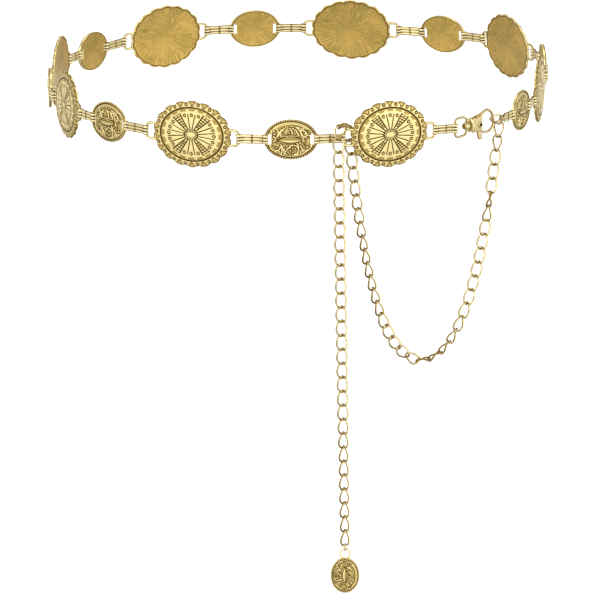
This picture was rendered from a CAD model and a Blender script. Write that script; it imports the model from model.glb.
"""Chain belt of antiqued gold-coloured metal: the finish and fine form of every piece.

Lengths are millimetres until a mesh is made. A flat piece is modelled in its own axes:
u to the right and v up, seen from outside the belt, and w outward.
"""

from math import asinh, cos, cosh, hypot, pi, radians, sin, sinh, sqrt

import bmesh
import bpy
import numpy as np
from mathutils import Matrix, Vector


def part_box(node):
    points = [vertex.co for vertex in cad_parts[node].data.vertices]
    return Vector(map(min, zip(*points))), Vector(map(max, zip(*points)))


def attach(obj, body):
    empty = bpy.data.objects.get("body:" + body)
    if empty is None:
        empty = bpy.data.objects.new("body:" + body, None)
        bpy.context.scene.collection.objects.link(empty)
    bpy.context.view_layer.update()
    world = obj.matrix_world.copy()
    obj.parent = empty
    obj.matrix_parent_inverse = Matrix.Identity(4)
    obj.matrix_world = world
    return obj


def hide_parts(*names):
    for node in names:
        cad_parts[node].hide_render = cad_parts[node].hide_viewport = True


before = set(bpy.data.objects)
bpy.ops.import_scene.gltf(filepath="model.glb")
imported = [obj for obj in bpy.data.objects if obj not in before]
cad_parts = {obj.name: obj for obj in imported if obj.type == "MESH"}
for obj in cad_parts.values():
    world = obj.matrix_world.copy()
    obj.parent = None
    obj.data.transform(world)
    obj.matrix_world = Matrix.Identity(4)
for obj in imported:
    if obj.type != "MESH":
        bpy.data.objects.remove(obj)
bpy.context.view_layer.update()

MM = 0.001
POINT_RADIUS = 0.001
ALONG = Vector((1, 0, 0))
INWARD = Vector((0, 1, 0))
FACE = -INWARD
UP = Vector((0, 0, 1))

# Sizes of the solids that the pieces keep to. The back of an oval piece is a little hollow inside a lip
LARGE = {
    "half_width": 21.25, "half_height": 17.0, "back": -0.8, "hollow": 0.55, "lip": 0.12,
    "scallops": 18, "depth": 0.9,
}
LOOP = {"outer": 25.4, "half_height": 4.0, "depth": 3.4, "root": 19.6, "wire": 0.65, "corner_power": 0.77}
SMALL = {"half_width": 13.5, "half_height": 10.15, "back": -0.45, "hollow": 0.12, "lip": 0.04}
SLOT = {"inner": 9.75, "outer": 12.2, "half_height": 2.6, "round": 0.45}
STRIP = {"length": 13.2, "half_height": 2.25, "eye": 1.62, "half_thick": 0.62}
CHARM = {"half_width": 9.1, "half_height": 7.25, "back": -0.7, "hollow": 0.12, "lip": 0.04, "sink": 0.7}
BAIL = {"half_width": 2.35, "half_height": 2.65, "wire": 0.45}
RING = {"radius": 2.0, "wire": 0.4}
MEDALLIONS_OF_A_SIZE = 8
STRIPS = 17

# Chain links, and how far they are rolled about the chain's run
LINK = {"wire": 0.55, "half_width": 2.55, "reach": 4.15, "twist": 0.85, "pitch": 7.2}
HOOKED = {"along": 34.25, "roll": 52.5, "solid_reach": 4.5}
SWAG = {"links": 37, "end": (26.4, -138.8, -1.8), "runs": (3, 5, 3, 3, 4, 2, 2, 3, 2, 3, 3, 4)}
SWAG_ROLL = {
    0: -39, 1: -45, 2: -10, 4: 0, 5: 78, 6: 45, 7: 10, 8: 5, 12: 0, 15: 50, 18: 80,
    19: 145, 20: 178, 22: 168, 24: 130, 29: 122, 31: 145, 36: 180,
}
WRAP = {
    "rear": {"joint": (25.76, -139.64, 5.03), "roll": -15},
    "over": {"joint": (21.84, -145.18, 6.71), "roll": 52},
    "front": {"joint": (20.7, -149.48, 1.43), "roll": 151},
}
TAIL = {"links": 29, "drift": 3.6, "runs": (4, 5, 5, 5, 5, 5)}
TAIL_ROLL = {0: 0, 12: 8, 19: 18, 22: 42, 24: 35, 28: 48}

# Snap hook, along and up from the pin of its swivel eye, and inward from its middle plane
EYE = {"length": 9.6, "half_height": 4.7, "wire": 0.65}
BODY_OUTLINE = [
    (12.7, 3.0), (15.5, 3.5), (18.2, 4.1), (19.7, 4.4), (20.3, 3.2), (20.1, 1.2), (19.9, -0.8),
    (20.1, -2.2), (21.0, -3.4), (20.2, -4.3), (18.4, -3.9), (15.5, -3.7), (12.7, -3.5),
]
CHEEKS = [(-1.7, -0.72), (0.72, 1.7)]
SPINE_OUTLINE = [(12.9, -3.2), (16.3, -3.3), (16.3, 1.8), (20.3, 1.8), (20.2, 4.0), (12.9, 2.7)]
SPINE_HALF = 0.9
HOOK_PATH = [
    (17.6, 3.3), (20.2, 4.2), (23.2, 5.5), (25.9, 6.1), (28.6, 5.2), (30.7, 2.8), (31.5, -0.2),
    (30.9, -2.9), (28.1, -4.95),
]
HOOK_WIRE = {"root": 1.0, "loss": 0.24, "points": 14}
GATE_PATH = [(18.6, -1.6), (20.2, -3.4), (22.8, -4.7), (26.8, -5.2)]
GATE_WIRE = 0.66
TAB_OUTLINE = [
    (17.0, -1.8), (20.1, -1.8), (21.1, -4.8), (22.1, -7.4), (21.2, -8.4), (19.5, -8.0), (18.0, -4.6),
]
TAB_HALF = 0.62
RIB_PATH = [(18.9, -2.6), (19.8, -4.8), (20.7, -7.2)]
RIB_WIRE = 0.55
RIVET = Vector((18.6, 0, -0.4))

# Turned shapes of the hook, in rows of place along the axis, radius and patina
BOSS_PROFILE = [(-1.1, 0, 0), (-1.1, 1.5, 0), (-0.7, 1.9, 0), (0.5, 1.9, 0), (0.8, 1.5, 0), (0.8, 0, 0)]
PIN_PROFILE = [
    (6.9, 0, 0.8), (7.0, 1.0, 0.6), (7.5, 1.7, 0.1), (8.2, 1.9, 0), (8.7, 1.7, 0.1), (8.9, 1.1, 0.7),
    (8.9, 0.6, 0.9), (11.0, 0.6, 0.9), (11.0, 0, 0.9),
]
COLLAR_PROFILE = [
    (10.7, 0, 0.9), (10.7, 1.0, 0.8), (11.2, 1.0, 0.7), (11.35, 2.9, 0.1), (11.7, 3.4, 0),
    (12.5, 3.4, 0), (12.85, 2.9, 0.6), (13.0, 0, 0.9),
]
RIVET_PROFILE = [
    (1.5, 0, 0.9), (1.5, 1.75, 0.9), (1.72, 1.7, 0.9), (1.76, 1.55, 0.7), (2.05, 1.45, 0), (2.15, 1.2, 0),
    (2.05, 0.98, 0.5), (1.8, 0.9, 1), (1.74, 0, 1),
]
DISC_PROFILE = [(-0.6, 0, 0), (-0.6, 1.9, 0), (0.6, 1.9, 0), (0.6, 0, 0)]


# Meshes

def full_turn(count):
    return [2 * pi * k / count for k in range(count)]


def oval(centre, first, second, count):
    """Points of an oval round a centre, from the vectors of its two half axes."""
    return [centre + first * cos(turn) + second * sin(turn) for turn in full_turn(count)]


def new_mesh(name, parts, smooth_angle=40.0):
    """One mesh from parts, dicts of points, faces and, where they have them, values of patina and back."""
    points = np.concatenate([part["points"] for part in parts])
    faces = []
    start = 0
    for part in parts:
        faces += [tuple(start + i for i in face) for face in part["faces"]]
        start += len(part["points"])
    mesh = bpy.data.meshes.new(name)
    mesh.from_pydata((points * MM).tolist(), [], faces)
    shell = bmesh.new()
    shell.from_mesh(mesh)
    bmesh.ops.recalc_face_normals(shell, faces=shell.faces)
    shell.to_mesh(mesh)
    shell.free()
    mesh.polygons.foreach_set("use_smooth", [True] * len(mesh.polygons))
    mesh.set_sharp_from_angle(angle=radians(smooth_angle))
    for key in ("patina", "back"):
        values = np.concatenate([part.get(key, np.zeros(len(part["points"]))) for part in parts])
        mesh.attributes.new(key, "FLOAT", "POINT").data.foreach_set("value", values.astype(np.float32))
    mesh.update()
    return mesh


def new_object(name, data):
    item = bpy.data.objects.new(name, data)
    bpy.context.scene.collection.objects.link(item)
    return item


def add_piece(name, mesh, matrix, body, slot, material, *nodes):
    piece = new_object(name, mesh)
    piece.matrix_world = matrix
    if not mesh.materials:
        mesh.materials.append(material)
    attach(piece, body)
    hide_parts(*nodes)


def skin(rings, closed):
    """Faces and points of a surface through rings of equal length, capped unless it closes on itself."""
    rings = [np.asarray(ring, float) for ring in rings]
    sides = len(rings[0])
    faces = []
    spans = len(rings) if closed else len(rings) - 1
    for i in range(spans):
        here = i * sides
        after = ((i + 1) % len(rings)) * sides
        for j in range(sides):
            k = (j + 1) % sides
            faces.append((here + j, here + k, after + k, after + j))
    if not closed:
        faces.append(tuple(reversed(range(sides))))
        faces.append(tuple((len(rings) - 1) * sides + j for j in range(sides)))
    return {"points": np.concatenate(rings), "faces": faces}


def smooth_path(points, per_span, closed=False):
    """Points of a Catmull-Rom curve through the given ones."""
    points = [Vector(p) for p in points]
    count = len(points)
    path = []
    for i in range(count if closed else count - 1):
        if closed:
            a, b, c, d = (points[(i + k) % count] for k in (-1, 0, 1, 2))
        else:
            b, c = points[i], points[i + 1]
            a = points[i - 1] if i else b * 2 - c
            d = points[i + 2] if i + 2 < count else c * 2 - b
        for step in range(per_span):
            t = step / per_span
            path.append(0.5 * (2 * b + (c - a) * t + (2 * a - 5 * b + 4 * c - d) * t * t
                               + (3 * b - a - 3 * c + d) * t * t * t))
    if not closed:
        path.append(points[-1])
    return path


# A bar's rounded end: how far it reaches beyond the path and how wide it is there, as shares of the radius
CAP = {"beyond": 0.35, "width": 0.7}


def tube(path, radius, sides, facing, closed=False, flat=1.0, edge=0.3):
    """A round bar along a path. The radius may be a list, flat squeezes the bar along the facing direction,
    and edge is the patina on its two flanks."""
    radii = radius if isinstance(radius, list) else [radius] * len(path)
    rings = []
    for i, point in enumerate(path):
        before = path[i - 1] if closed or i else path[0]
        after = path[(i + 1) % len(path)] if closed or i + 1 < len(path) else path[-1]
        along = (after - before).normalized()
        across = along.cross(facing).normalized()
        out = across.cross(along)
        rings.append(oval(point, out * (radii[i] * flat), across * radii[i], sides))
    if not closed:
        for end, inner in ((0, 1), (-1, -2)):
            centre = path[end]
            beyond = (path[end] - path[inner]).normalized() * radii[end] * CAP["beyond"]
            cap = [centre + (p - centre) * CAP["width"] + beyond for p in rings[end]]
            rings.insert(len(rings) if end else 0, cap)
    part = skin(rings, closed)
    flanks = np.abs(np.sin(full_turn(sides)))
    part["patina"] = np.tile(edge * ramp(flanks, 0.35, 0.9), len(rings))
    return part


def lathe(profile, sides, centre, axis, side):
    """A turned shape: profile rows are the place along the axis, the radius there and the patina."""
    other = axis.cross(side)
    rings = []
    for place, radius, _ in profile:
        radius = max(radius, POINT_RADIUS)
        rings.append(oval(centre + axis * place, side * radius, other * radius, sides))
    part = skin(rings, False)
    part["patina"] = np.repeat([patina for _, _, patina in profile], sides)
    return part


def plate(outline, low, high, bevel):
    """A flat plate in the along-up plane with rounded edges; low and high are its faces' places inward."""
    count = len(outline)
    area = sum(outline[i - 1][0] * outline[i][1] - outline[i][0] * outline[i - 1][1] for i in range(count))
    turn = 1 if area > 0 else -1
    inner = []
    for i in range(count):
        a = Vector(outline[i - 1])
        c = Vector(outline[(i + 1) % count])
        tangent = (c - a).normalized()
        normal = Vector((-tangent.y, tangent.x)) * turn
        inner.append(Vector(outline[i]) + normal * bevel)
    outer = [Vector(p) for p in outline]
    middle = [o.lerp(i, 0.3) for o, i in zip(outer, inner)]
    layers = [
        (inner, low, 0.0), (middle, low + bevel * 0.3, 0.2), (outer, low + bevel, 0.62),
        (outer, high - bevel, 0.62), (middle, high - bevel * 0.3, 0.2), (inner, high, 0.0),
    ]
    part = skin([[(p.x, place, p.y) for p in ring] for ring, place, _ in layers], False)
    part["patina"] = np.repeat([patina for _, _, patina in layers], count)
    return part


def rounded(outline, per_span):
    path = smooth_path([(x, y, 0) for x, y in outline], per_span, closed=True)
    return [(p.x, p.y) for p in path]


# Frames of the solids

def triangles(node):
    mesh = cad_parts[node].data
    mesh.calc_loop_triangles()
    points = np.empty(len(mesh.vertices) * 3)
    mesh.vertices.foreach_get("co", points)
    index = np.empty(len(mesh.loop_triangles) * 3, int)
    mesh.loop_triangles.foreach_get("vertices", index)
    return points.reshape(-1, 3) / MM, index.reshape(-1, 3)


def flat_frame(node, back):
    """Origin, right, up and outward axes of a flat piece, from the moments of its solid's surface."""
    points, index = triangles(node)
    a, b, c = (points[index[:, k]] for k in range(3))
    area = np.linalg.norm(np.cross(b - a, c - a), axis=1) / 2
    middle = ((a + b + c) * area[:, None]).sum(0) / (3 * area.sum())
    a, b, c = a - middle, b - middle, c - middle
    total = a + b + c
    moments = sum(np.einsum("t,ti,tj->ij", area / 12, p, p) for p in (a, b, c, total))
    axes = np.linalg.eigh(moments)[1]
    outward, up = axes[:, 0], axes[:, 1]
    if np.dot(outward[:2], middle[:2]) < 0:
        outward = -outward
    if up[2] < 0:
        up = -up
    right = np.cross(up, outward)
    spans = [points @ axis for axis in (right, up, outward)]
    across, along = ((span.min() + span.max()) / 2 for span in spans[:2])
    origin = right * across + up * along + outward * (spans[2].min() - back)
    return [Vector(v) for v in (origin, right, up, outward)]


def matrix_of(origin, x_axis, y_axis, z_axis, unit=MM):
    """A matrix with the given axes, and with an origin in millimetres times the unit."""
    matrix = Matrix((x_axis, y_axis, z_axis)).transposed().to_4x4()
    matrix.translation = origin * unit
    return matrix


# Reliefs

def groove(distance, width):
    return np.exp(-((distance / width) ** 2))


def dome(distance, radius, power=2):
    """A round bump, or a flatter one with a higher power."""
    return np.sqrt(np.clip(1 - (distance / radius) ** power, 0, 1))


def ramp(value, low, high):
    t = np.clip((value - low) / (high - low), 0, 1)
    return t * t * (3 - 2 * t)


def turned_from(degrees, centre):
    """Signed angle from a line through the middle, within half a turn."""
    return (degrees - centre + 180) % 360 - 180


def ellipse_point(share, degrees, spec):
    turn = radians(degrees)
    return spec["half_width"] * share * cos(turn), spec["half_height"] * share * sin(turn)


def mean_radius(spec):
    return (spec["half_width"] + spec["half_height"]) / 2


# Front of the large medallion. Its places are shares of the way from the middle to the rim
WHEEL = {
    "edge": 0.8, "line": 0.765, "hub": 0.15, "petals": 20, "petal_ring": 0.58,
    "long_ray": {"end": 0.665, "width": 0.25}, "short_ray": {"end": 0.6, "width": 0.2},
}
BAND = {"petals": (3, 7, 13, 17), "from": 0.27, "to": 0.655, "half_angle": 0.145, "stamp": 1.4}
ARCS = {"from": 0.685, "to": 0.76, "soft": 0.015, "half_petal": 0.37, "spacing": 0.55, "bars": 10}
BORDER = {"edge": 0.82, "ring": 0.9, "fan": 0.875, "rim": 0.965}
FAN = {"from": -0.8, "to": 2.3, "foot": 0.45, "flare": 0.78, "apex": 0.9, "pleats": 22}
HUB = {"oval": 0.16, "line": 0.118, "from": 0.125, "to": 0.2, "teeth": 20}


def punch_ring(away, radius, width, cut, raised):
    """A punched ring with a dot in it, by the distance from its middle."""
    cut += 0.34 * groove(away - radius, width)
    raised += 0.2 * dome(away, 0.5)


def punch_border(u, v, cut, raised, dark):
    """A ring in each valley of the scalloped border and a fan in each scallop."""
    step = 360 / LARGE["scallops"]
    for k in range(LARGE["scallops"]):
        x, y = ellipse_point(BORDER["ring"], k * step, LARGE)
        punch_ring(np.hypot(u - x, v - y), 0.66, 0.2, cut, raised)
        x, y = ellipse_point(BORDER["fan"], (k + 0.5) * step, LARGE)
        normal = Vector((x / LARGE["half_width"] ** 2, y / LARGE["half_height"] ** 2)).normalized()
        out = (u - x) * normal.x + (v - y) * normal.y
        side = np.abs(-(u - x) * normal.y + (v - y) * normal.x)
        edge = FAN["foot"] + FAN["flare"] * np.clip(out, 0, None)
        near = (out > FAN["from"]) & (out < FAN["to"]) & (side < 3)
        inside = near & (side < edge) & (out > 0)
        spread = np.arctan2(side, out + FAN["apex"])
        cut += near * (out < 2.0) * 0.3 * groove(np.maximum(np.abs(side - edge), -out), 0.2)
        cut += inside * 0.11 * (0.5 + 0.5 * np.cos(spread * FAN["pleats"])) * ramp(out, 0.2, 0.7)
        cut += near * 0.24 * groove(np.hypot(side, out + 0.25) - 0.45, 0.16) * (out < 0.1)
        dark += inside * 0.06 * ramp(out, 0.5, 1.4)


def punch_arcs(share, petal, mean, cut, dark):
    """A band of stamped arcs inside the ring line, one over each petal."""
    soft = ARCS["soft"]
    arc = ramp(ARCS["half_petal"] - np.abs(petal), 0, 0.05)
    arc *= ramp(share, ARCS["from"], ARCS["from"] + soft)
    arc *= 1 - ramp(share, ARCS["to"] - soft, ARCS["to"])
    middle = (ARCS["from"] + ARCS["to"]) / 2
    cut += arc * (0.06 + 0.06 * np.cos((share - middle) * mean * 2 * pi / ARCS["spacing"]))
    cut += arc * 0.045 * (1 + np.cos(petal * 2 * pi * ARCS["bars"]))
    dark += arc * 0.04


def punch_wheel(u, v, share, degrees, mean, cut, raised):
    """Rays between the petals, small stamps along four petals and a ring at the end of each other one."""
    reach = share * mean
    sector = 360 / WHEEL["petals"]
    for k in range(WHEEL["petals"]):
        beside_band = k in BAND["petals"] or k + 1 in BAND["petals"]
        ray = WHEEL["long_ray" if beside_band else "short_ray"]
        off = np.radians(turned_from(degrees, (k + 0.5) * sector)) * reach
        inner = ramp(share, WHEEL["hub"], WHEEL["hub"] + 0.02)
        outer = 1 - ramp(share, ray["end"], ray["end"] + 0.03)
        cut += 0.34 * groove(off, ray["width"]) * inner * outer
    for k in range(WHEEL["petals"]):
        off = np.radians(turned_from(degrees, k * sector)) * reach
        if k in BAND["petals"]:
            inside = np.abs(off) < BAND["half_angle"] * reach - 0.1
            inside = inside & (share > BAND["from"]) & (share < BAND["to"])
            rows = groove((reach / BAND["stamp"] + 0.5) % 1 - 0.5, 0.17)
            cut += inside * 0.3 * np.maximum(rows, groove(off, 0.16))
        else:
            x, y = ellipse_point(WHEEL["petal_ring"], k * sector, LARGE)
            punch_ring(np.hypot(u - x, v - y), 0.68, 0.19, cut, raised)


def punch_hub(share, turn, mean, cut):
    """The toothed oval in the middle."""
    point = share * (1 + HUB["oval"] * np.abs(np.sin(turn)))
    teeth = ramp(point, HUB["from"], HUB["from"] + 0.01) * (1 - ramp(point, HUB["to"] - 0.015, HUB["to"]))
    cut += teeth * 0.3 * ramp(np.cos(turn * HUB["teeth"]), -0.2, 0.6)
    cut += 0.2 * groove((point - HUB["line"]) * mean, 0.14)


def large_relief(u, v, share, turn):
    """Height over the back plate's middle, and how dark the patina lies, on the large medallion's front."""
    mean = mean_radius(LARGE)
    edge = WHEEL["edge"]
    wheel = 0.95 + 0.95 * (1 - (share / edge) ** 2)
    border = 0.95 - 0.35 * ramp(share, edge, 0.97)
    height = np.where(share < edge, wheel, border) - 0.45 * ramp(share, BORDER["rim"], 1.0) ** 2
    cut = 0.46 * groove((share - edge) * mean, 0.3) + 0.14 * groove((share - WHEEL["line"]) * mean, 0.2)
    raised = np.zeros_like(u)
    dark = 0.1 * ramp(share, BORDER["edge"], BORDER["edge"] + 0.02) + 0.4 * ramp(share, BORDER["rim"], 1.0)
    degrees = np.degrees(turn) % 360
    petal = (degrees * WHEEL["petals"] / 360 + 0.5) % 1 - 0.5
    punch_border(u, v, cut, raised, dark)
    punch_arcs(share, petal, mean, cut, dark)
    punch_wheel(u, v, share, degrees, mean, cut, raised)
    punch_hub(share, turn, mean, cut)
    patina = np.clip(cut / 0.2, 0, 1) ** 1.2 + dark
    return height - cut + raised, np.clip(patina, 0, 1)


# Scrollwork of the small medallion: arcs in rows of u, v, radius, first and last angle, and half width
SCROLLS = [
    (-3.0, 3.0, 3.6, -6, 52, 0.34), (-1.2, 1.0, 5.05, 9, 66, 0.36), (-0.5, 1.0, 6.0, 5, 60, 0.36),
    (-1.6, 1.2, 4.6, 112, 172, 0.34), (-9.6, 3.2, 3.3, -38, 38, 0.34), (-1.9, 3.0, 3.3, 140, 212, 0.3),
    (-14.0, 3.0, 4.3, -26, 26, 0.3), (1.0, -1.5, 8.1, 30, 77, 0.3), (6.8, 3.6, 1.9, 110, 285, 0.32),
    (8.6, 1.0, 1.2, 20, 200, 0.3), (-7.8, -3.3, 2.6, 172, 352, 0.34), (-11.0, -5.2, 6.5, -26, 24, 0.34),
    (1.5, -8.2, 4.6, 112, 172, 0.34), (1.2, -5.4, 2.55, -80, 150, 0.34), (-2.5, -4.9, 6.3, -28, 28, 0.34),
    (7.6, -3.1, 2.6, 188, 366, 0.34), (-6.9, -7.1, 1.4, 20, 160, 0.28), (6.0, -7.0, 1.4, 20, 170, 0.28),
    (-2.6, -4.4, 1.6, 60, 250, 0.3), (-9.0, 0.2, 1.3, -80, 80, 0.3), (7.2, 0.2, 1.3, 100, 260, 0.3),
]
# Its single beads, in rows of u, v and radius, and the beads in a row and round the edge
BEADS = [
    (-8.5, 4.2, 0.49), (-8.3, 2.7, 0.46), (-8.2, 1.2, 0.46), (-4.1, 4.2, 0.40), (-4.3, 2.8, 0.36),
    (-0.9, 3.2, 0.40), (6.2, 4.4, 0.56), (7.2, 2.8, 0.53), (-8.8, -3.9, 0.46), (-7.2, -4.2, 0.41),
    (-3.4, -5.0, 0.41), (-2.0, -3.9, 0.40), (-3.7, -6.6, 0.40), (-0.2, -5.8, 0.43), (0.9, -4.5, 0.40),
    (2.2, -4.7, 0.43), (0.9, -6.7, 0.33), (4.9, -3.3, 0.43), (8.0, -3.9, 0.51), (7.0, -2.8, 0.33),
    (5.7, -6.3, 0.33), (-6.9, -1.2, 0.33), (-6.4, 0.6, 0.30), (5.9, -1.3, 0.33), (9.0, 1.2, 0.30),
    (-5.9, -6.2, 0.30),
]
FINE_BEAD = 0.36
BEAD_ROW = {"count": 10, "u": -4.45, "v": 1.78, "step": 0.9}
BEAD_RING = {"count": 46, "share": 0.78}

# Its pointed oval, its crescent over the oval, and the shares of the way out at which its edge lies
BOAT = {"u": -0.4, "v": -0.2, "half_length": 5.9, "half_height": 1.5}
CRESCENT = {"from": 0.73, "to": 0.83, "foot": 4.6}
EDGE = {"field": 0.86, "ring": 0.85, "border": 0.885, "line": 0.892, "rope": 0.945}


def arc_distance(x, y, radius, first, last):
    """Distance from an arc round the origin, and from its ends beyond them."""
    angle = (np.degrees(np.arctan2(y, x)) - first) % 360
    extent = last - first
    past = np.where(angle > extent, np.minimum(angle - extent, 360 - angle), 0)
    return np.hypot(np.hypot(x, y) - radius, np.radians(past) * radius)


def small_relief(u, v, share, turn, size=1.0, strands=64, rim=1.0):
    """The same for a small medallion. Its ornament is in its own millimetres, so a charm gives its size."""
    s, t = u / size, v / size
    mean = mean_radius(SMALL)
    height = np.where(share < EDGE["field"], 0.45 + 0.65 * (1 - (share / EDGE["field"]) ** 2), 0.5)
    raised = np.zeros_like(u)
    gap = np.full_like(u, 9.0)

    def ridge(away, half_width, tall, power=4):
        np.maximum(raised, tall * dome(away, half_width, power), out=raised)
        np.minimum(gap, away - half_width, out=gap)

    for x, y, radius, first, last, width in SCROLLS:
        ridge(arc_distance(s - x, t - y, radius, first, last), width, 0.36)
    for x, y, radius in BEADS:
        ridge(np.hypot(s - x, t - y), radius, 0.42)
    for k in range(BEAD_ROW["count"]):
        ridge(np.hypot(s - BEAD_ROW["u"] - BEAD_ROW["step"] * k, t - BEAD_ROW["v"]), FINE_BEAD, 0.34)
    for k in range(BEAD_RING["count"]):
        x, y = ellipse_point(BEAD_RING["share"], k * 360 / BEAD_RING["count"], SMALL)
        ridge(np.hypot(s - x, t - y), FINE_BEAD, 0.34)

    x, y = s - BOAT["u"], t - BOAT["v"]
    brim = np.maximum(BOAT["half_height"] * (1 - (x / BOAT["half_length"]) ** 2), 0.01)
    lens = np.abs(y) / brim
    in_boat = (np.abs(x) < BOAT["half_length"]) & (lens < 1)
    raised = np.where(in_boat, 0.22 + 0.36 * dome(lens, 1.0, 4), raised)
    beside = np.where(np.abs(x) < BOAT["half_length"] + 0.4, np.abs(y) - brim, 9)
    gap = np.where(in_boat, 1.0, np.minimum(gap, beside))
    ridge(np.abs(share - EDGE["ring"]) * mean, FINE_BEAD, 0.34, 2)

    foot = CRESCENT["foot"]
    crescent = (share < CRESCENT["to"]) & (share > CRESCENT["from"]) & (t > foot)
    raised = np.where(crescent, 0.25 * ramp(t, foot, foot + 0.6), raised)
    border = share > EDGE["border"]
    rope = 0.5 + 0.5 * np.cos(turn * strands + (share - 0.9) * mean * 3.4)
    bulge = dome((share - EDGE["rope"]) * mean, 0.72, 4)
    raised = np.where(border, bulge * (0.2 + 0.45 * rope), raised)

    beside_ridges = groove(np.clip(gap - 0.12, 0, None), 0.36)
    field = np.where(gap > 0, 0.34 + 0.66 * beside_ridges, 0.0)
    shade = 0.62 * ramp(y / brim, 0.12, 0.3) * (1 - ramp(lens, 0.72, 0.84)) + 0.5 * groove(lens - 0.1, 0.08)
    field = np.where(in_boat, shade, field)
    patina = np.where(border, rim * (1 - rope) ** 0.9, field)
    patina = np.where(crescent, 0.26 + 0.5 * groove(t - foot - 0.15, 0.25), patina)
    line = 0.3 * groove((share - EDGE["line"]) * mean, 0.24)
    return height + raised - line, np.clip(patina + line * 2, 0, 1)


# Medallions

# Rings of the front meshes: how far out each stretch reaches, and in how many rings
LARGE_RINGS = [
    (0.1, 3), (0.21, 11), (0.54, 13), (0.63, 8), (0.69, 3), (0.77, 7), (0.83, 6), (0.86, 2), (0.95, 9),
    (1.0, 5),
]
SMALL_RINGS = [(0.7, 35), (0.87, 9), (1.0, 9)]
LARGE_COLUMNS = 360
SMALL_COLUMNS = 320


def ring_shares(table):
    shares = []
    start = 0.0
    for end, count in table:
        shares += [start + (end - start) * (i + 1) / count for i in range(count)]
        start = end
    return shares


def scallop_inset(turn):
    return LARGE["depth"] * (1 - np.abs(np.sin(LARGE["scallops"] * turn / 2)))


def back_rows(spec, rim):
    """Rings from the rim to the middle of the back: how far out, the place outward, patina and back."""
    back, hollow = spec["back"], spec["hollow"]
    inner = back + spec["lip"]
    rows = [
        (1.004, (rim + back) / 2, 0.0, 0.0),
        (1.0, back + 0.25, 0.0, 0.0),
        (0.988, back, 0.0, 0.45),
        (0.968, back, 0.0, 0.45),
        (0.955, inner, 0.85, 0.45),
        (0.932, inner, 0.85, 1.0),
        (0.915, inner + hollow * 0.15, 0.0, 1.0),
    ]
    for share in (0.85, 0.7, 0.5, 0.3, 0.1):
        rows.append((share, inner + hollow * (1 - (share / 0.95) ** 4), 0.0, 1.0))
    return rows, inner + hollow


def oval_body(spec, relief, shares, columns, inset=None):
    """A medallion: relief in front, a rounded edge, and a brushed back, a little hollow inside a lip."""
    turn = np.array(full_turn(columns))
    edge = inset(turn) if inset else np.zeros(columns)

    def ring(share, outward):
        pull = edge * np.clip((share - 0.84) / 0.16, 0, 1)
        u = (spec["half_width"] * share - pull) * np.cos(turn)
        v = (spec["half_height"] * share - pull) * np.sin(turn)
        return np.stack([u, v, np.broadcast_to(outward, u.shape)], 1)

    rows, patina, rear = [], [], []
    for share in shares:
        points = ring(share, 0.0)
        height, dark = relief(points[:, 0], points[:, 1], np.full(columns, share), turn)
        points[:, 2] = height
        rows.append(points)
        patina.append(dark)
        rear.append(np.zeros(columns))
    backs, back_middle = back_rows(spec, rows[-1][:, 2])
    for share, outward, dark, brushed in backs:
        rows.append(ring(share, outward))
        patina.append(np.full(columns, dark))
        rear.append(np.full(columns, brushed))
    faces = []
    for i in range(len(rows) - 1):
        here = i * columns
        after = here + columns
        for j in range(columns):
            k = (j + 1) % columns
            faces.append((here + j, after + j, after + k, here + k))
    front = len(rows) * columns
    last = front - columns
    for j in range(columns):
        k = (j + 1) % columns
        faces.append((front, j, k))
        faces.append((front + 1, last + k, last + j))
    front_middle, middle_dark = relief(np.zeros(1), np.zeros(1), np.zeros(1), np.zeros(1))
    middles = [[0, 0, front_middle[0]], [0, 0, back_middle]]
    return {
        "points": np.concatenate(rows + [middles]),
        "faces": faces,
        "patina": np.concatenate(patina + [middle_dark, [0.0]]),
        "back": np.concatenate(rear + [[0.0, 1.0]]),
    }


def d_loop(side):
    high, depth, power = LOOP["half_height"], LOOP["depth"], LOOP["corner_power"]
    points = [(side * LOOP["root"], high, 0)]
    steps = 16
    for k in range(steps + 1):
        turn = pi / 2 - pi * k / steps
        out = depth * abs(cos(turn)) ** power
        up = high * abs(sin(turn)) ** power * (1 if sin(turn) > 0 else -1)
        points.append((side * (LOOP["outer"] - depth + out), up, 0))
    points.append((side * LOOP["root"], -high, 0))
    return tube(smooth_path(points, 2), LOOP["wire"], 12, UP, edge=0.6)


def large_mesh():
    body = oval_body(LARGE, large_relief, ring_shares(LARGE_RINGS), LARGE_COLUMNS, scallop_inset)
    return new_mesh("large_medallion", [body, d_loop(-1), d_loop(1)], 60)


def cut_slots(mesh):
    """Cuts the two slots through a small medallion's mesh."""
    body = new_object("slot_body", mesh)
    cutters = []
    corners = []
    radius = SLOT["round"]
    across = (SLOT["outer"] - SLOT["inner"]) / 2 - radius
    along = SLOT["half_height"] - radius
    for turn in full_turn(24):
        x = radius * cos(turn) + (across if cos(turn) > 0 else -across)
        y = radius * sin(turn) + (along if sin(turn) > 0 else -along)
        corners.append((x, y))
    for side in (-1, 1):
        centre = side * (SLOT["outer"] + SLOT["inner"]) / 2
        part = skin([[(centre + x, y, w) for x, y in corners] for w in (-4, 4)], False)
        cutter = new_object("slot_cutter", new_mesh("slot_cutter", [part]))
        cutters.append(cutter)
        modifier = body.modifiers.new("slot", "BOOLEAN")
        modifier.object = cutter
        modifier.solver = "EXACT"
    depsgraph = bpy.context.evaluated_depsgraph_get()
    result = bpy.data.meshes.new_from_object(body.evaluated_get(depsgraph))
    for item in [body] + cutters:
        bpy.data.objects.remove(item)
    result.name = "small_medallion"
    return result


def small_mesh():
    body = oval_body(SMALL, small_relief, ring_shares(SMALL_RINGS), SMALL_COLUMNS)
    return cut_slots(new_mesh("small_medallion_uncut", [body], 60))


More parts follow.
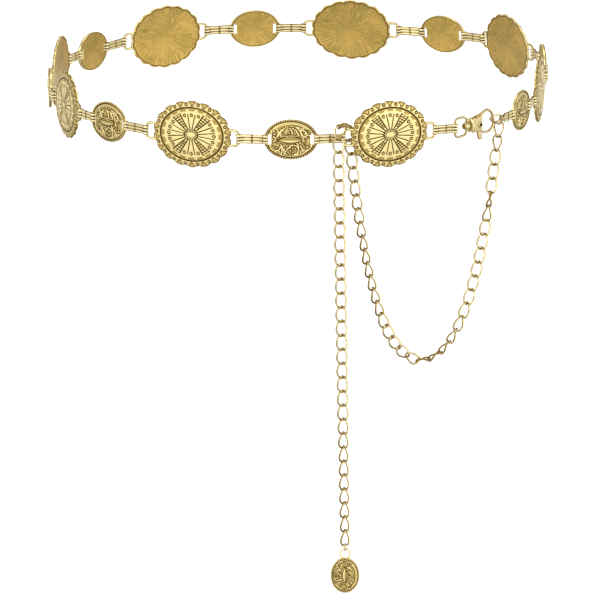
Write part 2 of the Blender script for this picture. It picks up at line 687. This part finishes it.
def charm_mesh():
    size = CHARM["half_width"] / SMALL["half_width"]

    def relief(u, v, share, turn):
        height, dark = small_relief(u, v, share, turn, size, strands=40, rim=0.5)
        return height * 1.15, dark * 0.94

    body = oval_body(CHARM, relief, ring_shares(SMALL_RINGS), SMALL_COLUMNS)
    points = body["points"]
    drop = BAIL["half_height"] + CHARM["half_width"] - CHARM["sink"]
    body["points"] = np.stack([points[:, 1], -points[:, 0] - drop, points[:, 2]], 1)
    path = oval(Vector(), Vector((BAIL["half_width"], 0, 0)), Vector((0, BAIL["half_height"], 0)), 40)
    bail = tube(path, BAIL["wire"], 12, UP, closed=True)
    return new_mesh("charm", [body, bail], 60)


# Strip links

# Heights and depths on a folded strip, and where its flat stretch is divided, closest beside the seam
FOLD = {"ridge": 0.3, "finger": 0.62, "lap": 0.16}
FINGERS = {"from": 2.9, "full": 2.2}
SEAM = {"half": 0.2, "patina": 0.6}
TONGUE = {"length": 2.4, "half_height": 0.85}
FLAT_STOPS = (0.2, 0.44, 0.485, 0.515, 0.56, 0.8)


def strip_outline():
    """Rows round a strip seen from above: place, outward direction and whether it is flat there."""
    half, eye = STRIP["length"] / 2, STRIP["eye"]
    bite = np.arcsin(STRIP["half_thick"] / eye)
    outline = []
    steps = 16
    for side in (1, -1):
        for k in range(steps + 1):
            turn = -pi + bite + (2 * pi - 2 * bite) * k / steps
            nx, ny = side * cos(turn), side * sin(turn)
            outline.append((side * half + eye * nx, eye * ny, nx, ny, False))
        for k in FLAT_STOPS:
            x = side * (half - eye * cos(bite)) * (1 - 2 * k)
            outline.append((x, side * STRIP["half_thick"], 0.0, side, True))
    return outline


def strip_mesh(name, narrow_end=False):
    """A strip folded round two bars: three ridges, three fingers at each end and a lap in the middle."""
    half = STRIP["length"] / 2
    outline = strip_outline()
    rings, patina = [], []
    for level in np.linspace(-1, 1, 31):
        ring = []
        wave = abs((level * 1.5 + 1.5) % 1 - 0.5) * 2
        ridge = 1 - wave ** 2
        for x, y, nx, ny, flat in outline:
            near_end = ramp(abs(x), half - FINGERS["from"], half - FINGERS["full"])
            gap = ramp(wave, 0.62, 0.8) * near_end * (abs(level) < 0.9)
            push = FOLD["ridge"] * (ridge - 0.75) - FOLD["finger"] * gap
            lap = FOLD["lap"] if flat and x < 0 else 0.0
            on_tongue = narrow_end and x > half - TONGUE["length"]
            reach = TONGUE["half_height"] if on_tongue else STRIP["half_height"]
            ring.append((x + nx * push, y + ny * (push + lap), level * reach))
            seam = SEAM["patina"] if flat and abs(x) < SEAM["half"] else 0.0
            patina.append(min(1.0, 0.62 * wave ** 3 + 0.9 * gap + seam))
        rings.append(ring)
    body = skin(rings, False)
    body["patina"] = np.array(patina)
    return new_mesh(name, [body], 50)


# Chain

def link_part(matrix):
    path = []
    for turn in full_turn(36):
        bend = LINK["twist"] * sin(2 * turn)
        path.append(Vector((LINK["half_width"] * cos(turn), bend, LINK["reach"] * sin(turn))))
    part = tube(path, LINK["wire"], 12, FACE, closed=True, edge=0.7)
    heights = np.abs(part["points"][:, 2])
    beside_contact = ramp(heights, 3.0, 3.5) * (1 - ramp(heights, 3.7, 4.1))
    part["patina"] = np.maximum(part["patina"], 0.6 * beside_contact)
    part["points"] = np.array([matrix @ Vector(p) for p in part["points"]])
    return part


def link_frame(above, below, roll):
    """A link's axes between two joints of the chain, rolled about the chain's run."""
    length = (above - below).normalized()
    side = -FACE.cross(length).normalized()
    level = matrix_of((above + below) / 2, side, length.cross(side), length, 1.0)
    return level @ Matrix.Rotation(radians(roll), 4, "Z")


def roll_at(table, number):
    """The roll of a link, between those of the nearest numbers in the table."""
    after = min(key for key in table if key >= number)
    before = max(key for key in table if key <= number)
    if after == before:
        return table[after]
    return table[before] + (table[after] - table[before]) * (number - before) / (after - before)


def hanging_joints(start, end, links, pitch):
    """Joints of a chain that hangs between two points, as a catenary."""
    run = hypot(end.x - start.x, end.y - start.y)
    drop = end.z - start.z
    target = sqrt((links * pitch) ** 2 - drop ** 2)
    low, high = 1.0, run * 10
    for _ in range(80):
        scale = (low + high) / 2
        if 2 * scale * sinh(run / (2 * scale)) > target:
            low = scale
        else:
            high = scale
    scale = low
    middle = run / 2 - scale * asinh(drop / (2 * scale * sinh(run / (2 * scale))))
    arc_start = scale * sinh(-middle / scale)
    base = start.z - scale * cosh(-middle / scale)
    joints = []
    for i in range(links + 1):
        along = middle + scale * asinh((arc_start + i * pitch) / scale)
        share = along / run
        joints.append(Vector((
            start.x + (end.x - start.x) * share,
            start.y + (end.y - start.y) * share,
            base + scale * cosh((along - middle) / scale),
        )))
    return joints


def add_wire(name, parts, material):
    add_piece(f"{name}_wire", new_mesh(name, parts), Matrix(), "belt", "link_gold", material, name)


def add_runs(prefix, joints, runs, rolls, material):
    first = 0
    for run, count in enumerate(runs, 1):
        parts = []
        for i in range(first, first + count):
            parts.append(link_part(link_frame(joints[i], joints[i + 1], roll_at(rolls, i))))
        add_wire(f"{prefix}_{run}", parts, material)
        first += count


def add_chain(clasp, material):
    along, inward, up = (Vector(clasp.col[i][:3]) for i in range(3))
    centre = clasp @ Vector((HOOKED["along"], 0, 0))
    tilt = radians(HOOKED["roll"])
    side = inward * cos(tilt) + up * sin(tilt)
    held = matrix_of(centre, side, along.cross(side), along, 1.0)
    add_wire("chain_link_hooked", [link_part(held)], material)
    top = centre - side * LINK["half_width"] + UP * (HOOKED["solid_reach"] - LINK["pitch"] / 2)
    swag = hanging_joints(top, Vector(SWAG["end"]), SWAG["links"], LINK["pitch"])
    add_runs("chain_swag", swag, SWAG["runs"], SWAG_ROLL, material)
    hang = swag[-1]
    for place, row in WRAP.items():
        below = Vector(row["joint"])
        add_wire(f"chain_wrap_{place}", [link_part(link_frame(hang, below, row["roll"]))], material)
        hang = below
    tail = []
    for i in range(TAIL["links"] + 1):
        tail.append(hang + Vector((TAIL["drift"] * i / TAIL["links"], 0, -LINK["pitch"] * i)))
    add_runs("chain_tail", tail, TAIL["runs"], TAIL_ROLL, material)


# Snap hook

def upright(points):
    return [Vector((along, 0, up)) for along, up in points]


def swivel_parts():
    length, high = EYE["length"], EYE["half_height"]
    loop = [(0, 0), (0, 2.6), (0.6, 4.0), (2.2, high), (6.6, high), (8.7, 4.0), (length, 2.4), (length, 0)]
    loop += [(along, -up) for along, up in reversed(loop[1:-1])]
    eye = tube(smooth_path(upright(loop), 5, closed=True), EYE["wire"], 14, INWARD, closed=True, edge=0.65)
    boss = lathe(BOSS_PROFILE, 20, ALONG * length, ALONG, INWARD)
    pin = lathe(PIN_PROFILE, 24, Vector(), ALONG, INWARD)
    return [eye, boss, pin]


def hook_parts():
    outline = rounded(BODY_OUTLINE, 5)
    parts = [plate(outline, low, high, 0.35) for low, high in CHEEKS]
    parts.append(plate(SPINE_OUTLINE, -SPINE_HALF, SPINE_HALF, 0.1))
    path = smooth_path(upright(HOOK_PATH), 6)
    root, loss = HOOK_WIRE["root"], HOOK_WIRE["loss"]
    thick = [root - loss * min(1, i / HOOK_WIRE["points"]) for i in range(len(path))]
    parts.append(tube(path, thick, 14, INWARD, flat=1.05, edge=0.4))
    parts.append(lathe(COLLAR_PROFILE, 32, Vector(), ALONG, INWARD))
    for face in (-1, 1):
        parts.append(lathe(RIVET_PROFILE, 24, RIVET, INWARD * face, ALONG))
    return parts


def lever_parts():
    tab = plate(rounded(TAB_OUTLINE, 5), -TAB_HALF, TAB_HALF, 0.3)
    rib = tube(upright(RIB_PATH), RIB_WIRE, 12, INWARD, flat=1.4)
    disc = lathe(DISC_PROFILE, 28, RIVET, INWARD, ALONG)
    gate = tube(smooth_path(upright(GATE_PATH), 6), GATE_WIRE, 14, INWARD)
    return [tab, rib, disc, gate]


def add_clasp(clasp, materials):
    world = clasp.copy()
    world.translation = clasp.translation * MM
    pieces = [
        ("swivel_eye", swivel_parts(), 40, "belt", "link"),
        ("snap_hook", hook_parts(), 35, "belt", "clasp"),
        ("snap_lever", lever_parts(), 35, "lever", "clasp"),
    ]
    for name, parts, smooth_angle, body, metal in pieces:
        mesh = new_mesh(name, parts, smooth_angle)
        add_piece(f"{name}_cast", mesh, world, body, f"{metal}_gold", materials[metal], name)


# Charm

def add_charm(materials):
    low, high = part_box("charm_ring")
    centre = (low + high) / 2 / MM
    path = oval(centre, INWARD * RING["radius"], UP * RING["radius"], 40)
    ring = new_mesh("charm_ring", [tube(path, RING["wire"], 12, ALONG, closed=True)])
    add_piece("charm_ring_wire", ring, Matrix(), "ring", "link_gold", materials["link"], "charm_ring")
    low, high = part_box("charm")
    bail_centre = Vector((centre.x, centre.y, high.z / MM - BAIL["half_height"] - BAIL["wire"]))
    matrix = matrix_of(bail_centre, ALONG, UP, FACE)
    add_piece("charm_cast", charm_mesh(), matrix, "charm", "medallion_gold", materials["front"], "charm")


# Materials

# Golds: colours of the front and of the brushed back, roughness, and how much the brushing dents the back
GOLDS = {
    "front": {
        "name": "antique_gold", "face": (0.88, 0.73, 0.33, 1), "back": (0.51, 0.34, 0.088, 1),
        "rough": 0.24, "brush": 1.0,
    },
    "link": {
        "name": "polished_gold", "face": (0.87, 0.75, 0.42, 1), "back": (0.7, 0.5, 0.2, 1),
        "rough": 0.16, "brush": 0.0,
    },
    "clasp": {
        "name": "satin_gold", "face": (0.82, 0.67, 0.35, 1), "back": (0.7, 0.5, 0.2, 1),
        "rough": 0.26, "brush": 0.0,
    },
}

# Patina goes through amber to tarnish
AMBER = (0.40, 0.27, 0.075, 1.0)
TARNISH = (0.04, 0.024, 0.008, 1.0)

# Brushing: streaks that run outward, with their scales around and outward, and what makes them uneven
STREAKS = {"around": 20.0, "outward": 110.0, "scale": 1.6, "detail": 6.0}
WEAVE = {"scale": 3100.0, "depth": 0.09}
CLOUD = {"scale": 70.0, "depth": 0.5}
SPECKLE = {"scale": 1000.0, "depth": 0.3}
BRUSHED_RANGE = (0.37, 0.65)
BRUSHED_DULL = (0.66, 0.72, 0.72)
BRUSHED_BRIGHT = (1.32, 1.3, 1.36)


def nodes_of(material):
    material.use_nodes = True
    tree = material.node_tree
    return tree.nodes, tree.links, tree.nodes["Principled BSDF"]


def tinted(colour, shares):
    """A colour with its red, green and blue each multiplied by a share."""
    return tuple(c * share for c, share in zip(colour, shares)) + (1.0,)


def gold(name, face, back, rough, brush):
    """Plated gold that the patina attribute darkens and the back attribute turns to the brushed reverse."""
    material = bpy.data.materials.new(name)
    nodes, links, shader = nodes_of(material)
    shader.inputs["Metallic"].default_value = 1.0

    def attribute(key):
        node = nodes.new("ShaderNodeAttribute")
        node.attribute_name = key
        return node.outputs["Fac"]

    def fill(node, key, value):
        if isinstance(value, (tuple, float)):
            node.inputs[key].default_value = value
        else:
            links.new(value, node.inputs[key])

    def mix(factor, first, second):
        node = nodes.new("ShaderNodeMix")
        node.data_type = "RGBA"
        node.clamp_factor = True
        for key, value in (("Factor", factor), (6, first), (7, second)):
            fill(node, key, value)
        return node.outputs[2]

    def noise(scale, detail, vector):
        node = nodes.new("ShaderNodeTexNoise")
        for key, value in (("Scale", scale), ("Detail", detail), ("Vector", vector)):
            fill(node, key, value)
        return node.outputs["Fac"]

    def math(operation, first, second=None):
        node = nodes.new("ShaderNodeMath")
        node.operation = operation
        fill(node, 0, first)
        if second is not None:
            fill(node, 1, second)
        return node.outputs[0]

    def times(first, second):
        return math("MULTIPLY", first, second)

    def plus(first, second):
        return math("ADD", first, second)

    def unevenness(spec):
        return times(math("SUBTRACT", noise(spec["scale"], 2.0, place), 0.5), spec["depth"])

    def stripes(operation):
        return math("SINE", times(math(operation, x, y), WEAVE["scale"]))

    place = nodes.new("ShaderNodeTexCoord").outputs["Object"]
    axes = nodes.new("ShaderNodeSeparateXYZ")
    links.new(place, axes.inputs[0])
    x, y = axes.outputs["X"], axes.outputs["Y"]
    patina, rear = attribute("patina"), attribute("back")
    mottle = noise(180.0, 3.0, place)
    front_tone = mix(times(mottle, 0.55), face, tinted(face, (0.8, 0.8, 0.8)))

    angle = math("ARCTAN2", y, x)
    radius = math("POWER", plus(math("POWER", x, 2.0), math("POWER", y, 2.0)), 0.5)
    swirl = nodes.new("ShaderNodeCombineXYZ")
    links.new(times(angle, STREAKS["around"]), swirl.inputs["X"])
    links.new(times(radius, STREAKS["outward"]), swirl.inputs["Y"])
    streaks = noise(STREAKS["scale"], STREAKS["detail"], swirl.outputs[0])
    weave = times(times(stripes("ADD"), stripes("SUBTRACT")), WEAVE["depth"])
    uneven = plus(unevenness(CLOUD), unevenness(SPECKLE))
    streaks = plus(plus(streaks, weave), uneven)
    brushed = nodes.new("ShaderNodeMapRange")
    brushed.inputs["From Min"].default_value, brushed.inputs["From Max"].default_value = BRUSHED_RANGE
    links.new(streaks, brushed.inputs["Value"])
    rear_tone = mix(brushed.outputs["Result"], tinted(back, BRUSHED_DULL), tinted(back, BRUSHED_BRIGHT))

    tone = mix(rear, front_tone, rear_tone)
    warmed = mix(times(patina, 2.0), tone, AMBER)
    darkened = mix(times(math("SUBTRACT", patina, 0.5), 2.0), warmed, TARNISH)
    links.new(darkened, shader.inputs["Base Color"])

    roughness = plus(times(noise(900.0, 2.0, place), 0.12), rough)
    roughness = plus(roughness, times(rear, 0.12))
    roughness = plus(roughness, times(patina, 0.3))
    links.new(roughness, shader.inputs["Roughness"])

    dents = times(streaks, times(rear, brush))
    grain = times(noise(2600.0, 2.0, place), 0.08)
    bump = nodes.new("ShaderNodeBump")
    bump.inputs["Strength"].default_value = 0.5
    bump.inputs["Distance"].default_value = 0.00012
    links.new(plus(dents, grain), bump.inputs["Height"])
    links.new(bump.outputs["Normal"], shader.inputs["Normal"])
    return material


# Stage

CAMERA_PLACE = (0.0016, -4.5, 0.9112)
CAMERA_TILT = 77.15
CAMERA_LENS = 535.5
FLOOR = {"half_size": 14.0, "depth": 0.9, "white": 0.9, "rough": 0.9, "glow": 0.9}
LIGHT_COLOUR = (1.0, 0.98, 0.95)
LIGHTS = [
    # name, place, size, power
    ("key", (-1.2, -1.6, 1.5), (0.9, 0.9), 16),
    ("fill", (1.6, -1.0, 0.7), (0.7, 1.2), 6),
    ("top", (0.1, 0.3, 1.8), (1.2, 1.2), 12),
]

# Studio walls: brightness by how far a direction turns from rear to front, and from below to overhead
WALLS_FRONT = (0.06, -0.998, 0)
WALLS_AROUND = [
    (0.0, 1.0), (0.045, 0.86), (0.075, 0.52), (0.15, 0.76), (0.4, 0.66), (0.6, 0.85), (0.85, 1.0),
    (1.0, 1.0),
]
WALLS_HEIGHT = [(0.0, 0.35), (0.25, 0.75), (0.42, 1.0), (0.62, 1.0), (0.8, 0.5), (1.0, 0.3)]
WALLS_STRENGTH = 1.45


def add_camera():
    data = bpy.data.cameras.new("camera")
    data.lens = CAMERA_LENS
    data.sensor_width = 36.0
    data.clip_start = 0.1
    data.clip_end = 60.0
    camera = new_object("camera", data)
    camera.location = CAMERA_PLACE
    camera.rotation_euler = (radians(CAMERA_TILT), 0, 0)
    bpy.context.scene.camera = camera


def add_light(name, at, size, power):
    data = bpy.data.lights.new(name, "AREA")
    data.shape = "RECTANGLE"
    data.size, data.size_y = size
    data.energy = power
    data.color = LIGHT_COLOUR
    light = new_object(name, data)
    light.location = at
    light.rotation_euler = (-Vector(at)).to_track_quat("-Z", "Y").to_euler()


def add_floor():
    size, white = FLOOR["half_size"], FLOOR["white"]
    corners = [(-size, -size, 0), (size, -size, 0), (size, size, 0), (-size, size, 0)]
    mesh = bpy.data.meshes.new("floor")
    mesh.from_pydata(corners, [], [(0, 1, 2, 3)])
    floor = new_object("floor", mesh)
    floor.location.z = -FLOOR["depth"]
    floor.visible_glossy = False
    material = bpy.data.materials.new("floor_white")
    shader = nodes_of(material)[2]
    shader.inputs["Base Color"].default_value = (white, white, white, 1)
    shader.inputs["Roughness"].default_value = FLOOR["rough"]
    shader.inputs["Emission Color"].default_value = (1, 1, 1, 1)
    shader.inputs["Emission Strength"].default_value = FLOOR["glow"]
    mesh.materials.append(material)


def add_studio_walls():
    """The studio round the belt: bright in front and behind, darker at the sides, overhead and below."""
    world = bpy.data.worlds.new("studio")
    bpy.context.scene.world = world
    world.use_nodes = True
    nodes, links = world.node_tree.nodes, world.node_tree.links
    place = nodes.new("ShaderNodeTexCoord")

    def level(direction, rows):
        """Brightness by how far a direction turns towards the given one, in rows of turn and brightness."""
        turned = nodes.new("ShaderNodeVectorMath")
        turned.operation = "DOT_PRODUCT"
        turned.inputs[1].default_value = direction
        links.new(place.outputs["Generated"], turned.inputs[0])
        spread = nodes.new("ShaderNodeMapRange")
        spread.inputs["From Min"].default_value = -1.0
        links.new(turned.outputs["Value"], spread.inputs["Value"])
        shade = nodes.new("ShaderNodeValToRGB")
        shade.color_ramp.interpolation = "EASE"
        points = shade.color_ramp.elements
        while len(points) < len(rows):
            points.new(0.5)
        for point, (turn, bright) in zip(points, rows):
            point.position = turn
            point.color = (bright, bright, bright, 1)
        links.new(spread.outputs["Result"], shade.inputs["Fac"])
        return shade.outputs["Color"]

    both = nodes.new("ShaderNodeVectorMath")
    both.operation = "MULTIPLY"
    links.new(level(WALLS_FRONT, WALLS_AROUND), both.inputs[0])
    links.new(level(UP, WALLS_HEIGHT), both.inputs[1])
    links.new(both.outputs[0], nodes["Background"].inputs["Color"])
    nodes["Background"].inputs["Strength"].default_value = WALLS_STRENGTH


def add_stage():
    add_floor()
    add_studio_walls()
    for row in LIGHTS:
        add_light(*row)
    bpy.context.scene.view_settings.view_transform = "Standard"


# The belt

def strip_pins(node):
    """The middles of the two bars that a strip is folded round."""
    _, right, _, _ = flat_frame(node, 0.0)
    points, _ = triangles(node)
    spans = points @ np.array(right)
    middle = Vector(points.mean(0))
    centre = middle + right * ((spans.min() + spans.max()) / 2 - middle.dot(right))
    half = STRIP["length"] / 2
    return centre + right * half, centre - right * half


def strip_matrix(node, flip=False):
    low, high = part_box(node)
    _, right, up, outward = flat_frame(node, 0.0)
    if flip:
        right, outward = -right, -outward
    return matrix_of((low + high) / 2 / MM, right, -outward, up)


def clasp_frame():
    """The snap hook's axes in the belt, and the middle of the link that it holds."""
    hooked = sum(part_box("chain_link_hooked"), Vector()) / 2 / MM
    start = sum(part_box("large_medallion_1"), Vector()) / 2 / MM
    first = max(strip_pins("strip_link_1"), key=lambda pin: (pin - start).length)
    last = min(strip_pins(f"strip_link_{STRIPS}"), key=lambda pin: (pin - hooked).length)
    along = (last - first).normalized()
    inward = UP.cross(along).normalized()
    return matrix_of(first, along, inward, along.cross(inward), 1.0), hooked


def add_medallions(material):
    for size, mesh, back in (("large", large_mesh(), LARGE["back"]), ("small", small_mesh(), SMALL["back"])):
        for number in range(1, MEDALLIONS_OF_A_SIZE + 1):
            node = f"{size}_medallion_{number}"
            matrix = matrix_of(*flat_frame(node, back))
            add_piece(f"{node}_cast", mesh, matrix, "belt", "medallion_gold", material, node)


def add_strips(hooked, material):
    """The strip links, of which the last one has its narrow end towards the hooked link."""
    strip = strip_mesh("strip_link")
    for number in range(1, STRIPS + 1):
        node = f"strip_link_{number}"
        mesh, matrix = strip, strip_matrix(node)
        if number == STRIPS:
            mesh = strip_mesh("strip_link_last", narrow_end=True)
            half = Vector((STRIP["length"] / 2 * MM, 0, 0))
            ends = [(matrix @ place / MM - hooked).length for place in (half, -half)]
            if ends[0] > ends[1]:
                matrix = strip_matrix(node, flip=True)
        add_piece(f"{node}_folded", mesh, matrix, "belt", "link_gold", material, node)


def main():
    materials = {key: gold(**row) for key, row in GOLDS.items()}
    clasp, hooked = clasp_frame()
    add_medallions(materials["front"])
    add_strips(hooked, materials["link"])
    add_clasp(clasp, materials)
    add_chain(clasp, materials["link"])
    add_charm(materials)


add_camera()
add_stage()
main()
